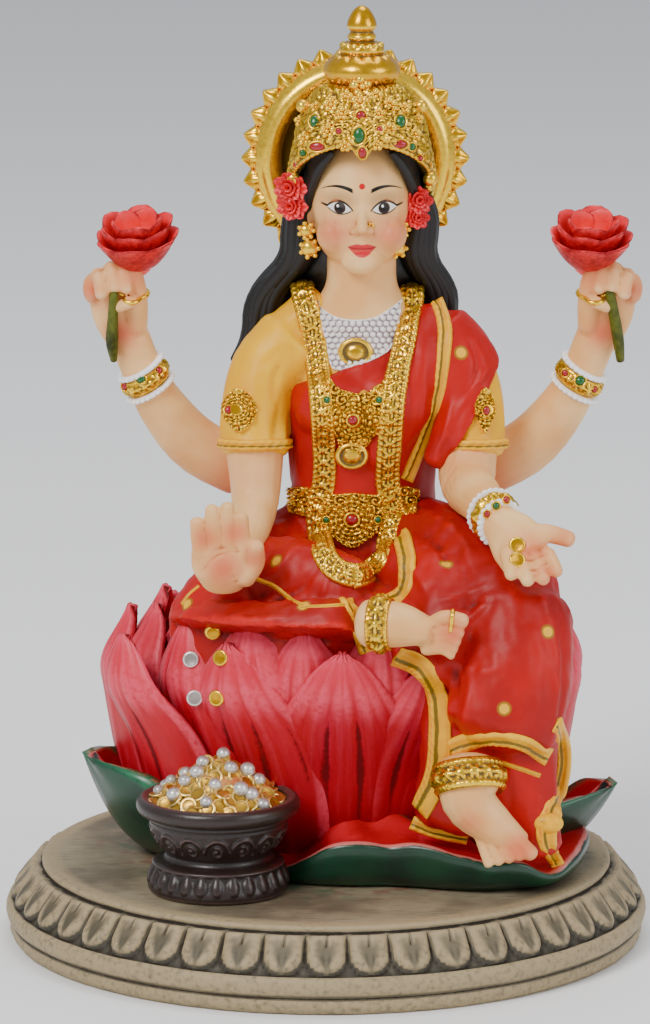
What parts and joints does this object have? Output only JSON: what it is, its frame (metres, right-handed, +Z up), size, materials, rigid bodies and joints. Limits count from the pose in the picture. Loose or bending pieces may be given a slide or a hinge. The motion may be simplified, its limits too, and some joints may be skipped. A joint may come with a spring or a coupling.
{
  "type": "lakshmi figure",
  "caption": "Painted cold-cast figurine of the four-armed goddess Lakshmi, seated on a lotus on a round plinth, with a pot of coins in front.",
  "frame": {"origin": "middle of the plinth's round underside, on the surface that it stands on", "axes": "+Z up, -Y out of the figure's front, +X to the right of someone who looks at its face"},
  "size_m": [0.11, 0.11, 0.1589],
  "materials": {
    "sari_paint": "satin red paint on cast resin",
    "stone_paint": "dry-brushed stone paint on cast resin",
    "pot_paint": "dark purple-brown paint on cast resin",
    "skin_paint": "cream paint with sprayed pink blush",
    "blouse_paint": "satin yellow paint on cast resin",
    "gold_paint": "bright gold paint with dark wash in the hollows",
    "hair_paint": "black paint",
    "petal_paint": "pink paint with dark flutes",
    "leaf_paint": "deep green paint",
    "pearl_paint": "white and silver paint",
    "gem_paint": "glossy red and green enamel"
  },
  "bodies": {
    "root": {"plinth": "stone_paint", "lakshmi_figure": "sari_paint", "coin_pot": "pot_paint"}
  },
  "joints": []
}
